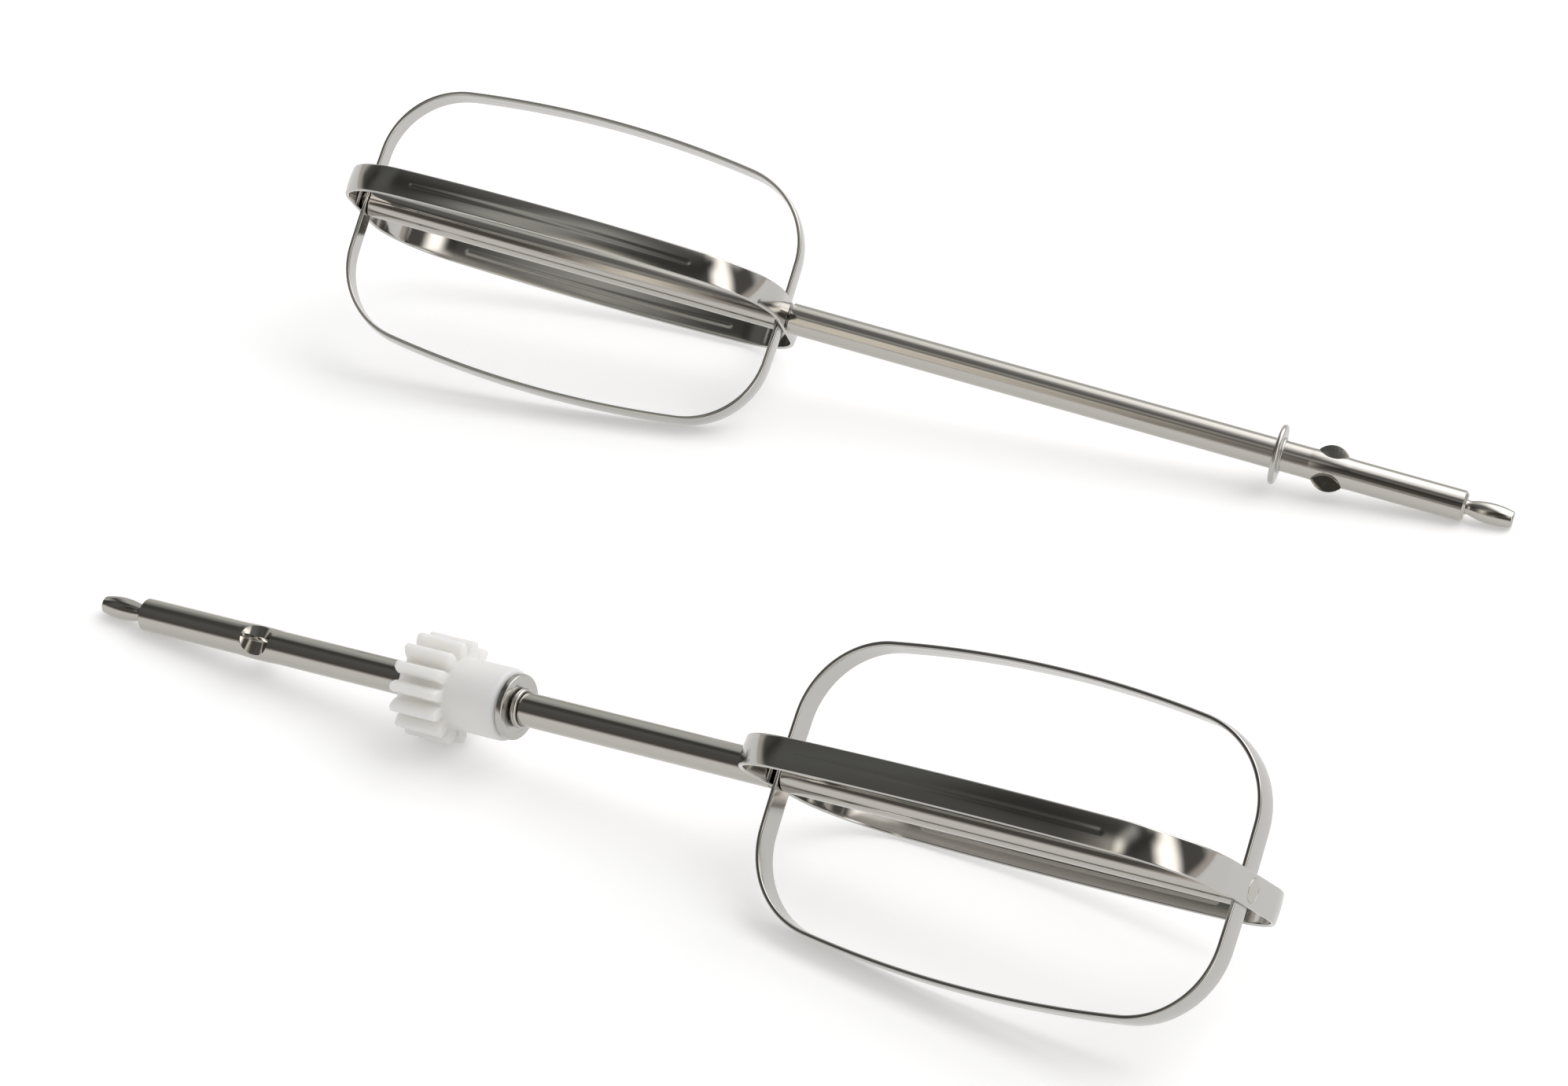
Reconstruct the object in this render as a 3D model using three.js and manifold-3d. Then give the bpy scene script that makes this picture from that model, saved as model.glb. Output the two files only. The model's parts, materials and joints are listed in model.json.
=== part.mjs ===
// A pair of strip-loop beaters for a hand mixer, lying on a table.
//
// Each beater is a round bar that ends in a coupling nub and two pressed drive fins. A thinner
// spigot at its other end runs through two crossed loops of steel strip, with a spacer tube between
// them, and is riveted over at the bottom. The plain beater has a stop collar. The geared beater
// carries a nylon pinion that turns the bowl, closed by a washer and a two-turn retaining ring.
//
// Millimetres, +Z up. Each piece is modelled in its beater's own frame: X along the bar from the
// bottom of the cage to the tip, Y in the plane of the outer loop, Z in the plane of the inner loop.

import * as THREE from "three";
import { mergeVertices } from "three/addons/utils/BufferGeometryUtils.js";
import Module from "manifold-3d";

const wasm = await Module();
wasm.setup();

// ---- Driving dimensions: lengths in millimetres, angles in degrees ----

const SEAT_GAP = 0.15; // between pieces that are pressed or riveted together
const BEATER_LENGTH = 193.5; // bottom of the cage to the end of the nub

const SHAFT_DIAMETER = 5;
const SHOULDER_CHAMFER = 0.45;

const NUB_LENGTH = 7.6; // shoulder of the shaft to the tip
const NUB_NECK_DIAMETER = 2.3;
const NUB_NECK_LENGTH = 0.6;
const NUB_DIAMETER = 3.4;
const NUB_END_DIAMETER = 2.7;
const NUB_END_ROUNDING = 0.35;

const FIN_DISTANCE = 29.6; // middle of the two fins to the tip
const FIN_LENGTH = 5;
const FIN_HEIGHT = 1.3; // above the shaft
const FIN_THICKNESS = 0.4;
const DENT_FLOOR = 1.3; // from the shaft's axis to the lowest of the dents beside the fins
const PLAIN_FIN_TURN = 90; // of the fins round the shaft, from the plane of the outer loop
const GEARED_FIN_TURN = 3;

const CAGE_LENGTH = 74.2;
const CAGE_WIDTH = 46.4;
const CORNER_RADIUS = 13.5;
const SIDE_BOW_RADIUS = 175;
const END_BOW_RADIUS = 400;
const STRIP_WIDTH = 4.6;
const STRIP_THICKNESS = 0.8;
const STRIP_EDGE_CHAMFER = 0.25;

const GROOVE_LENGTH = 47.6; // pressed along the middle of both long sides
const GROOVE_WIDTH = 0.8;
const GROOVE_DEPTH = 0.2;

const SPIGOT_DIAMETER = 2.8;
const RIVET_HEAD_DIAMETER = 3.4;
const RIVET_HEAD_DEPTH = 0.5;

const COLLAR_DISTANCE = 37.6; // tip-side face of the stop collar to the tip
const COLLAR_DIAMETER = 9.7;
const COLLAR_THICKNESS = 0.9;
const COLLAR_HUB_DIAMETER = 5.8;
const COLLAR_HUB_LENGTH = 0.35;
const DISC_EDGE_CHAMFER = 0.25;

const PINION_DISTANCE = 58; // tip-side face of the pinion to the tip
const PINION_TEETH = 14;
const PINION_DIAMETER = 15.4;
const PINION_FACE_WIDTH = 8;
const PRESSURE_ANGLE = 20;
const TOOTH_FULLNESS = 1.15; // thickness of the teeth against the gaps' share of the pitch
const TOOTH_END_CHAMFER = 0.3;
const DEDENDUM = 1.25; // in modules, as are the two next
const TIP_ROUNDING = 0.12;
const ROOT_ROUNDING = 0.25;
const TOOTH_TURN = 7; // of the teeth round the shaft
const HUB_DIAMETER = 10.7;
const HUB_LENGTH = 8.5;
const HUB_FILLET = 0.8;
const HUB_END_ROUNDING = 0.5;

const KEY_LENGTH = 4; // two ribs pressed out of the shaft, inside the pinion
const KEY_HEIGHT = 0.7;
const KEY_WIDTH = 1.2;
const KEY_INSET = 3; // tip-side face of the pinion to the ribs

const WASHER_DIAMETER = 9.7;
const WASHER_THICKNESS = 1.1;
const WASHER_DISH_DEPTH = 0.25;
const WASHER_DISH_DIAMETER = 7.4;

const RING_WIRE = 0.55; // each of the retaining ring's two turns
const RING_STAND_OUT = 0.45; // of the ring above the shaft
const RING_GROOVE_DEPTH = 0.3;

const ROUND_SEGMENTS = 24;
const ARC_SEGMENTS = 5; // half the steps of each arc in an extruded outline

// Where each beater lies: the bottom of its cage on the table's plan, the way its tip points, and
// how far it is rolled about its bar, which leaves the two loops leaning over almost alike.
const PLAIN_PLACE = { x: -99.4, y: 43.9, yaw: 6, roll: 136 };
const GEARED_PLACE = { x: 96.4, y: -70.8, yaw: 173.2, roll: 44.6 };

// ---- Worked out from the driving dimensions ----

const SHAFT_RADIUS = SHAFT_DIAMETER / 2;
const SHOULDER_X = BEATER_LENGTH - NUB_LENGTH;
const FIN_X = BEATER_LENGTH - FIN_DISTANCE;
const PINION_TIP_X = BEATER_LENGTH - PINION_DISTANCE;
const PINION_CAGE_X = PINION_TIP_X - PINION_FACE_WIDTH;
const HUB_END_X = PINION_CAGE_X - HUB_LENGTH;
const WASHER_X = HUB_END_X - SEAT_GAP - WASHER_THICKNESS;
const RING_LENGTH = 2 * RING_WIRE;
const RING_X = WASHER_X - SEAT_GAP - RING_LENGTH;
const KEY_TIP_X = PINION_TIP_X - KEY_INSET;
const RING_SEAT = { from: RING_X - SEAT_GAP, to: RING_X + RING_LENGTH + SEAT_GAP };
const CROSSING_STACK = 2 * STRIP_THICKNESS + SEAT_GAP; // both strips where they cross
const SPIGOT_HOLE = SPIGOT_DIAMETER + 2 * SEAT_GAP;
const CUT_PAST = 1; // how far a cut runs past the face that it opens

const rad = THREE.MathUtils.degToRad;

// ---- Helpers ----

// A closed geometry as a manifold solid.
function solid(geometry) {
  const bare = geometry.clone();
  bare.deleteAttribute("normal");
  bare.deleteAttribute("uv");
  const merged = mergeVertices(bare, 1e-4);
  return new wasm.Manifold(
    new wasm.Mesh({
      numProp: 3,
      vertProperties: merged.attributes.position.array,
      triVerts: new Uint32Array(merged.index.array),
    }),
  );
}

function geometryOf(manifold) {
  const { numProp, numVert, vertProperties, triVerts } = manifold.getMesh();
  const positions = new Float32Array(numVert * 3);
  for (let i = 0; i < numVert; i++)
    positions.set(vertProperties.subarray(i * numProp, i * numProp + 3), i * 3);
  const geometry = new THREE.BufferGeometry();
  geometry.setAttribute("position", new THREE.BufferAttribute(positions, 3));
  geometry.setIndex(new THREE.BufferAttribute(triVerts, 1));
  geometry.computeVertexNormals();
  return geometry;
}

// Turns a profile of (radius, x) points about the X axis.
function revolve(profile, segments = ROUND_SEGMENTS) {
  return new THREE.LatheGeometry(profile, segments).rotateZ(-Math.PI / 2);
}

const at = (radius, x) => new THREE.Vector2(radius, x);

// A plain round bar from one station on X to another, for holes and joins.
function bar(diameter, from, to) {
  const geometry = new THREE.CylinderGeometry(diameter / 2, diameter / 2, to - from, ROUND_SEGMENTS);
  return geometry.rotateZ(-Math.PI / 2).translate((from + to) / 2, 0, 0);
}

// A ring with chamfered rims from one station on X to another.
function disc(outer, inner, from, to, chamfer) {
  return revolve([
    at(inner, from),
    at(outer - chamfer, from),
    at(outer, from + chamfer),
    at(outer, to - chamfer),
    at(outer - chamfer, to),
    at(inner, to),
    at(inner, from),
  ]);
}

// Points of an arc, both ends included.
function arcPoints(cx, cy, radius, from, to, steps) {
  const points = [];
  for (let i = 0; i <= steps; i++) {
    const angle = rad(from + ((to - from) * i) / steps);
    points.push(new THREE.Vector2(cx + radius * Math.cos(angle), cy + radius * Math.sin(angle)));
  }
  return points;
}

// ---- Drive shaft ----

// The barrel-shaped nub, as profile points from its neck to the axis at the tip.
function nubProfile() {
  const neck = NUB_NECK_DIAMETER / 2;
  const end = NUB_END_DIAMETER / 2;
  const from = at(neck, SHOULDER_X + NUB_NECK_LENGTH);
  const to = at(end, BEATER_LENGTH - NUB_END_ROUNDING);
  const middle = (from.y + to.y) / 2;
  // A quadratic curve whose control point makes it pass through the full diameter at its middle.
  const bulge = at(NUB_DIAMETER - (neck + end) / 2, middle);
  return [
    at(neck, SHOULDER_X),
    ...new THREE.QuadraticBezierCurve(from, bulge, to).getPoints(8),
    ...arcPoints(end - NUB_END_ROUNDING, to.y, NUB_END_ROUNDING, 30, 90, 2),
    at(0, BEATER_LENGTH),
  ];
}

// Radius of the arc over a fin's length that rises or falls by a height at its middle.
function radiusOver(height) {
  const half = FIN_LENGTH / 2;
  return (half * half + height * height) / (2 * height);
}

// A blade that the dents on both its sides then cut to FIN_THICKNESS.
function finBlade(angle) {
  const radius = radiusOver(FIN_HEIGHT);
  return new THREE.CylinderGeometry(radius, radius, 2 * FIN_THICKNESS, ROUND_SEGMENTS)
    .rotateX(Math.PI / 2)
    .translate(FIN_X, SHAFT_RADIUS + FIN_HEIGHT - radius, 0)
    .rotateX(rad(angle));
}

// A half-round dent beside a fin, pressed in across the shaft. side is 1 or -1.
function finDent(angle, side) {
  const radius = radiusOver(SHAFT_RADIUS - DENT_FLOOR);
  const reach = SHAFT_RADIUS + CUT_PAST;
  return new THREE.CylinderGeometry(radius, radius, reach, ROUND_SEGMENTS)
    .rotateX(Math.PI / 2)
    .translate(FIN_X, DENT_FLOOR + radius, (side * (FIN_THICKNESS + reach)) / 2)
    .rotateX(rad(angle));
}

// finTurn is where the fins stand round the shaft, from the plane of the outer loop.
function driveShaft(finTurn) {
  const spigot = SPIGOT_DIAMETER / 2;
  const head = RIVET_HEAD_DIAMETER / 2;
  const profile = [
    at(0, 0),
    at(head, 0),
    at(spigot, RIVET_HEAD_DEPTH),
    at(spigot, CAGE_LENGTH + SEAT_GAP),
    at(SHAFT_RADIUS, CAGE_LENGTH + SEAT_GAP),
    at(SHAFT_RADIUS, SHOULDER_X - SHOULDER_CHAMFER),
    at(SHAFT_RADIUS - SHOULDER_CHAMFER, SHOULDER_X),
    ...nubProfile(),
  ];
  const turns = [finTurn, finTurn + 180];
  let shaft = solid(revolve(profile));
  for (const turn of turns) shaft = shaft.add(solid(finBlade(turn)));
  for (const turn of turns) {
    for (const side of [-1, 1]) shaft = shaft.subtract(solid(finDent(turn, side)));
  }
  return shaft;
}

// The geared beater's shaft also has the ring's groove and the ribs that drive the pinion.
function gearedDriveShaft(finTurn) {
  const bottom = SHAFT_RADIUS - RING_GROOVE_DEPTH;
  const groove = disc(SHAFT_RADIUS + CUT_PAST, bottom, RING_SEAT.from, RING_SEAT.to, 0);
  const ribs = new THREE.BoxGeometry(KEY_LENGTH, SHAFT_DIAMETER + 2 * KEY_HEIGHT, KEY_WIDTH);
  ribs.translate(KEY_TIP_X - KEY_LENGTH / 2, 0, 0);
  return driveShaft(finTurn).subtract(solid(groove)).add(solid(ribs));
}

// ---- Cage ----

// The loop's outline as tangent arcs: two bowed ends, two bowed sides and four corners. inset moves
// it inwards, so that a strip's two faces share their centres.
function loopOutline(halfLength, halfWidth, inset) {
  const endCentre = halfLength - END_BOW_RADIUS;
  const sideCentre = halfWidth - SIDE_BOW_RADIUS;
  // The corner's centre lies where it touches both bows from inside.
  const toEnd = END_BOW_RADIUS - CORNER_RADIUS;
  const toSide = SIDE_BOW_RADIUS - CORNER_RADIUS;
  const apart = Math.hypot(endCentre, sideCentre);
  const along = (toEnd * toEnd - toSide * toSide + apart * apart) / (2 * apart);
  const off = Math.sqrt(toEnd * toEnd - along * along);
  const ux = -endCentre / apart;
  const uy = sideCentre / apart;
  const cx = endCentre + along * ux - off * uy;
  const cy = along * uy + off * ux;
  const endAngle = Math.atan2(cy, cx - endCentre);
  const sideAngle = Math.atan2(cy - sideCentre, cx);

  const path = new THREE.Shape();
  const corner = CORNER_RADIUS - inset;
  path.absarc(endCentre, 0, END_BOW_RADIUS - inset, -endAngle, endAngle, false);
  path.absarc(cx, cy, corner, endAngle, sideAngle, false);
  path.absarc(0, sideCentre, SIDE_BOW_RADIUS - inset, sideAngle, Math.PI - sideAngle, false);
  path.absarc(-cx, cy, corner, Math.PI - sideAngle, Math.PI - endAngle, false);
  path.absarc(-endCentre, 0, END_BOW_RADIUS - inset, Math.PI - endAngle, Math.PI + endAngle, false);
  path.absarc(-cx, -cy, corner, Math.PI + endAngle, Math.PI + sideAngle, false);
  path.absarc(0, -sideCentre, SIDE_BOW_RADIUS - inset, Math.PI + sideAngle, 2 * Math.PI - sideAngle, false);
  path.absarc(cx, -cy, corner, 2 * Math.PI - sideAngle, 2 * Math.PI - endAngle, false);
  return path;
}

// A bowed bar along one long side, between two depths below the strip's outer face.
function sideRib(halfWidth, from, to) {
  const spread = THREE.MathUtils.radToDeg(GROOVE_LENGTH / 2 / SIDE_BOW_RADIUS);
  const centre = halfWidth - SIDE_BOW_RADIUS;
  const steps = 2 * ARC_SEGMENTS;
  const shape = new THREE.Shape([
    ...arcPoints(0, centre, SIDE_BOW_RADIUS - from, 90 - spread, 90 + spread, steps),
    ...arcPoints(0, centre, SIDE_BOW_RADIUS - to, 90 + spread, 90 - spread, steps),
  ]);
  const options = { depth: GROOVE_WIDTH, bevelEnabled: false };
  return new THREE.ExtrudeGeometry(shape, options).translate(0, 0, -GROOVE_WIDTH / 2);
}

// A closed strip in the XY plane about the cage's middle, with its two pressed grooves.
function stripLoop(halfLength) {
  const halfWidth = CAGE_WIDTH / 2;
  const ring = loopOutline(halfLength, halfWidth, 0);
  ring.holes.push(loopOutline(halfLength, halfWidth, STRIP_THICKNESS));
  const body = new THREE.ExtrudeGeometry(ring, {
    depth: STRIP_WIDTH - 2 * STRIP_EDGE_CHAMFER,
    curveSegments: ARC_SEGMENTS,
    bevelThickness: STRIP_EDGE_CHAMFER,
    bevelSize: STRIP_EDGE_CHAMFER,
    bevelOffset: -STRIP_EDGE_CHAMFER,
    bevelSegments: 1,
  }).translate(0, 0, STRIP_EDGE_CHAMFER - STRIP_WIDTH / 2);
  let strip = solid(body);
  for (const turn of [0, Math.PI]) {
    const ridge = sideRib(halfWidth, STRIP_THICKNESS / 2, STRIP_THICKNESS + GROOVE_DEPTH).rotateZ(turn);
    const groove = sideRib(halfWidth, -STRIP_THICKNESS, GROOVE_DEPTH).rotateZ(turn);
    strip = strip.add(solid(ridge)).subtract(solid(groove));
  }
  return strip;
}

// The outer loop takes the rivet's head in a countersink at the bottom of the cage.
function outerLoop() {
  const half = CAGE_LENGTH / 2;
  const head = RIVET_HEAD_DIAMETER / 2 + SEAT_GAP;
  const slope = (RIVET_HEAD_DIAMETER - SPIGOT_DIAMETER) / 2 / RIVET_HEAD_DEPTH;
  const sink = revolve([
    at(0, -CUT_PAST),
    at(head + slope * CUT_PAST, -CUT_PAST),
    at(SPIGOT_HOLE / 2, RIVET_HEAD_DEPTH),
    at(0, RIVET_HEAD_DEPTH),
  ]);
  const strip = solid(geometryOf(stripLoop(half)).translate(half, 0, 0));
  const hole = bar(SPIGOT_HOLE, -CUT_PAST, CAGE_LENGTH + CUT_PAST);
  return strip.subtract(solid(hole)).subtract(solid(sink));
}

// The inner loop fits inside the outer one where they cross, a quarter turn round the bar.
function innerLoop() {
  const half = CAGE_LENGTH / 2;
  const strip = geometryOf(stripLoop(half - STRIP_THICKNESS - SEAT_GAP));
  strip.rotateX(Math.PI / 2).translate(half, 0, 0);
  return solid(strip).subtract(solid(bar(SPIGOT_HOLE, 0, CAGE_LENGTH)));
}

function spacerTube() {
  const from = CROSSING_STACK + SEAT_GAP;
  return solid(disc(SHAFT_RADIUS, SPIGOT_HOLE / 2, from, CAGE_LENGTH - from, 0));
}

// ---- Plain beater's collar ----

function stopCollar() {
  const bore = SHAFT_RADIUS + SEAT_GAP;
  const face = BEATER_LENGTH - COLLAR_DISTANCE;
  const plate = disc(COLLAR_DIAMETER / 2, bore, face - COLLAR_THICKNESS, face, DISC_EDGE_CHAMFER);
  const hub = disc(COLLAR_HUB_DIAMETER / 2, bore, face - COLLAR_THICKNESS, face + COLLAR_HUB_LENGTH, 0);
  return solid(plate).add(solid(hub));
}

// ---- Geared beater's pinion, washer and ring ----

// Involute teeth: half the tooth's angle at a radius, measured from its centre line.
function toothOutline() {
  const module = PINION_DIAMETER / (PINION_TEETH + 2);
  const pitchRadius = (module * PINION_TEETH) / 2;
  const baseRadius = pitchRadius * Math.cos(rad(PRESSURE_ANGLE));
  const rootRadius = pitchRadius - DEDENDUM * module;
  const tipRadius = PINION_DIAMETER / 2;
  const involute = (angle) => Math.tan(angle) - angle;
  const halfAtPitch = (TOOTH_FULLNESS * Math.PI) / (2 * PINION_TEETH) + involute(rad(PRESSURE_ANGLE));
  const halfAngle = (radius) => halfAtPitch - involute(Math.acos(Math.min(1, baseRadius / radius)));
  const polar = (radius, angle) =>
    new THREE.Vector2(radius * Math.cos(angle), radius * Math.sin(angle));

  const flankSteps = 3;
  const flank = [];
  for (let i = 0; i <= flankSteps; i++) {
    const radius = baseRadius + ((tipRadius - TIP_ROUNDING * module - baseRadius) * i) / flankSteps;
    flank.push([radius, halfAngle(radius)]);
  }
  flank.push([tipRadius, halfAngle(tipRadius) - (TIP_ROUNDING * module) / tipRadius]);
  // Below the base circle the flank runs straight in and meets the root in a small round.
  const rounding = (ROOT_ROUNDING * module) / rootRadius / 2;
  flank.unshift([rootRadius + ROOT_ROUNDING * module, halfAngle(baseRadius)]);
  flank.unshift([rootRadius, halfAngle(baseRadius) + rounding]);

  const points = [];
  for (let tooth = 0; tooth < PINION_TEETH; tooth++) {
    const middle = (2 * Math.PI * tooth) / PINION_TEETH;
    for (const [radius, half] of flank) points.push(polar(radius, middle - half));
    for (const [radius, half] of [...flank].reverse()) points.push(polar(radius, middle + half));
  }
  return new THREE.Shape(points);
}

function drivePinion() {
  const teeth = new THREE.ExtrudeGeometry(toothOutline(), {
    depth: PINION_FACE_WIDTH - 2 * TOOTH_END_CHAMFER,
    bevelThickness: TOOTH_END_CHAMFER,
    bevelSize: TOOTH_END_CHAMFER,
    bevelOffset: -TOOTH_END_CHAMFER,
    bevelSegments: 1,
  });
  teeth.rotateZ(rad(TOOTH_TURN)).rotateY(Math.PI / 2);
  teeth.translate(PINION_CAGE_X + TOOTH_END_CHAMFER, 0, 0);

  const hubRadius = HUB_DIAMETER / 2;
  const middle = (PINION_CAGE_X + PINION_TIP_X) / 2;
  const fillet = arcPoints(hubRadius + HUB_FILLET, PINION_CAGE_X - HUB_FILLET, HUB_FILLET, 180, 90, 3);
  const hub = revolve([
    at(0, HUB_END_X),
    ...arcPoints(hubRadius - HUB_END_ROUNDING, HUB_END_X + HUB_END_ROUNDING, HUB_END_ROUNDING, -90, 0, 3),
    ...fillet,
    at(hubRadius, middle),
    at(0, middle),
  ]);
  const bore = bar(SHAFT_DIAMETER + 2 * SEAT_GAP, HUB_END_X - CUT_PAST, PINION_TIP_X + CUT_PAST);
  // The slots for the shaft's ribs are open towards the cage and end just past the ribs.
  const slotEnd = KEY_TIP_X + SEAT_GAP;
  const slotStart = HUB_END_X - CUT_PAST;
  const slotHeight = SHAFT_DIAMETER + 2 * KEY_HEIGHT + 2 * SEAT_GAP;
  const slot = new THREE.BoxGeometry(slotEnd - slotStart, slotHeight, KEY_WIDTH + 2 * SEAT_GAP);
  slot.translate((slotEnd + slotStart) / 2, 0, 0);
  return solid(teeth).add(solid(hub)).subtract(solid(bore)).subtract(solid(slot));
}

// A washer whose face is dished round the shaft on the cage side.
function pinionWasher() {
  const bore = SHAFT_RADIUS + SEAT_GAP;
  const outer = WASHER_DIAMETER / 2;
  const dish = WASHER_DISH_DIAMETER / 2;
  return solid(
    revolve([
      at(bore, WASHER_X + WASHER_DISH_DEPTH),
      at(dish - WASHER_DISH_DEPTH, WASHER_X + WASHER_DISH_DEPTH),
      at(dish, WASHER_X),
      at(outer - DISC_EDGE_CHAMFER, WASHER_X),
      at(outer, WASHER_X + DISC_EDGE_CHAMFER),
      at(outer, WASHER_X + WASHER_THICKNESS - DISC_EDGE_CHAMFER),
      at(outer - DISC_EDGE_CHAMFER, WASHER_X + WASHER_THICKNESS),
      at(bore, WASHER_X + WASHER_THICKNESS),
      at(bore, WASHER_X + WASHER_DISH_DEPTH),
    ]),
  );
}

// Two turns side by side, each rounded on the outside, seated in the shaft's groove.
function retainingRing() {
  const inner = SHAFT_RADIUS - RING_GROOVE_DEPTH + SEAT_GAP;
  const crest = SHAFT_RADIUS + RING_STAND_OUT - RING_WIRE / 2;
  const turn = (k) => arcPoints(crest, RING_X + RING_WIRE * (k + 0.5), RING_WIRE / 2, -90, 90, 4);
  return solid(
    revolve([at(inner, RING_X), ...turn(0), ...turn(1).slice(1), at(inner, RING_X + RING_LENGTH), at(inner, RING_X)]),
  );
}

// ---- Materials ----

const steel = (name, roughness) =>
  new THREE.MeshStandardMaterial({ name, color: 0xc9c7c3, metalness: 1, roughness });
const nylon = new THREE.MeshStandardMaterial({ name: "nylon", color: 0xe9e6e0, metalness: 0, roughness: 0.45 });

function piece(name, manifold, material) {
  const mesh = new THREE.Mesh(geometryOf(manifold), material);
  mesh.name = name;
  return mesh;
}

// ---- The two beaters, each in its own frame ----

function cagePieces(prefix) {
  return [
    piece(prefix + "_spacer_tube", spacerTube(), steel("spacer", 0.18)),
    piece(prefix + "_outer_loop", outerLoop(), steel("strip", 0.14)),
    piece(prefix + "_inner_loop", innerLoop(), steel("strip", 0.14)),
  ];
}

const plainBeater = [
  piece("plain_drive_shaft", driveShaft(PLAIN_FIN_TURN), steel("bar", 0.2)),
  piece("plain_stop_collar", stopCollar(), steel("collar", 0.2)),
  ...cagePieces("plain"),
];

const gearedBeater = [
  piece("geared_drive_shaft", gearedDriveShaft(GEARED_FIN_TURN), steel("bar", 0.2)),
  piece("drive_pinion", drivePinion(), nylon),
  piece("pinion_washer", pinionWasher(), steel("washer", 0.22)),
  piece("retaining_ring", retainingRing(), steel("ring", 0.2)),
  ...cagePieces("geared"),
];

// ---- Laying them on the table ----

// How far a beater's bar tips and how high its cage end stands when the beater lies on its cage and
// on whatever touches down between there and its tip. Only x and the height of each point matter.
function resting(meshes, roll) {
  const spots = [];
  const turn = new THREE.Matrix4().makeRotationX(rad(roll));
  const point = new THREE.Vector3();
  for (const mesh of meshes) {
    const positions = mesh.geometry.attributes.position;
    for (let i = 0; i < positions.count; i++) {
      point.fromBufferAttribute(positions, i).applyMatrix4(turn);
      spots.push({ x: point.x, z: point.z });
    }
  }
  // The line under all the spots that touches one on each side of the cage's shoulder.
  let slope = 0;
  let low;
  for (let pass = 0; pass < 20; pass++) {
    const lowest = (side) =>
      side.reduce((best, p) => (p.z - slope * p.x < best.z - slope * best.x ? p : best));
    low = lowest(spots.filter((p) => p.x <= CAGE_LENGTH));
    const far = lowest(spots.filter((p) => p.x > CAGE_LENGTH));
    slope = (far.z - low.z) / (far.x - low.x);
  }
  const tilt = Math.atan(slope);
  return { tilt, height: -(low.z - slope * low.x) * Math.cos(tilt) };
}

function layDown(name, meshes, place) {
  const { tilt, height } = resting(meshes, place.roll);
  const rolled = new THREE.Group();
  rolled.add(...meshes);
  rolled.rotation.x = rad(place.roll);
  const tipped = new THREE.Group();
  tipped.add(rolled);
  tipped.rotation.y = tilt; // brings the touching line down to the level
  const beater = new THREE.Group();
  beater.name = name;
  beater.add(tipped);
  beater.rotation.z = rad(place.yaw);
  beater.position.set(place.x, place.y, height);
  return beater;
}

const pair = new THREE.Group();
pair.name = "beater_pair";
pair.add(layDown("plain_beater", plainBeater, PLAIN_PLACE));
pair.add(layDown("geared_beater", gearedBeater, GEARED_PLACE));

// The origin is the middle of the pair's footprint, on the table.
pair.updateMatrixWorld(true);
const box = new THREE.Box3().setFromObject(pair, true);
pair.position.set(-(box.min.x + box.max.x) / 2, -(box.min.y + box.max.y) / 2, -box.min.z);

export default pair;
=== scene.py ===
"""A pair of strip-loop beaters for a hand mixer, laid out as a Blender add-on.

Every piece is modelled in its beater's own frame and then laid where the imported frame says: X runs
along the bar from the bottom of the cage to the tip, Y lies in the plane of the outer loop and Z in
the plane of the inner loop.
"""

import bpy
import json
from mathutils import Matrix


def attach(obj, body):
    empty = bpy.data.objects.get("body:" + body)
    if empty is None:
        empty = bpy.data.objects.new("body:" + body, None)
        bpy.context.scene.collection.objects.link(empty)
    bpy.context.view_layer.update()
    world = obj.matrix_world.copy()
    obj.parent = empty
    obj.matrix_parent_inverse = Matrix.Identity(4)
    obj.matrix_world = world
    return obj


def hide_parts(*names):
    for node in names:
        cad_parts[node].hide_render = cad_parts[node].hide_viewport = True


bl_info = {
    "name": "Mixer Beaters",
    "version": (1, 0, 0),
    "blender": (4, 5, 0),
    "location": "View3D > Sidebar > Beaters",
    "description": "Models a plain and a geared hand-mixer beater, their finishes and a studio",
    "category": "Object",
}

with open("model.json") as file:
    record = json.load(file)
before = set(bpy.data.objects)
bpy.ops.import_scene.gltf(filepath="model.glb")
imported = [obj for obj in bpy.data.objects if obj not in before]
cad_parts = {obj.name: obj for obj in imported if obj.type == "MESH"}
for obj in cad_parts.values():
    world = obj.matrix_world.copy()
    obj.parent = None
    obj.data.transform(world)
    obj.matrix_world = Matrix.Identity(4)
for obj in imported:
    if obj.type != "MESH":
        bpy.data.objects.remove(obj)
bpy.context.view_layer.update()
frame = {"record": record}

import json
import math

import bmesh
import bpy
from bpy.props import EnumProperty, FloatProperty, FloatVectorProperty, IntProperty, PointerProperty
from mathutils import Matrix, Vector

MOUNTS = {mount["name"]: mount for mount in frame["record"]["mounts"]}
ALONG = Vector((1, 0, 0))
MM = 0.001
PRESS_GAP = 0.03 * MM  # round what is pressed or sprung on the bar
BORE_GAP = 0.05 * MM  # round what the spigot and the bar pass through
BEATERS = [("plain", "Plain", "With the stop collar"), ("geared", "Geared", "With the pinion")]


# ---- Sizes, colours and studio settings ----


def number(name, description, default, **options):
    """A number property."""
    return FloatProperty(name=name, description=description, default=default, **options)


def vector(name, description, default, **options):
    """A vector property."""
    return FloatVectorProperty(name=name, description=description, default=default, **options)


def length(name, description, millimetres):
    """A length property whose default is given in millimetres."""
    return number(name, description, millimetres * MM, min=0, precision=5, unit="LENGTH")


def angle(name, description, degrees):
    """An angle property whose default is given in degrees."""
    return number(name, description, math.radians(degrees), unit="ROTATION")


def share(name, description, default):
    """A property from 0 to 1."""
    return number(name, description, default, min=0, max=1)


def colour(name, description, default):
    """A linear colour property."""
    return vector(name, description, default, min=0, max=1, subtype="COLOR")


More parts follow.
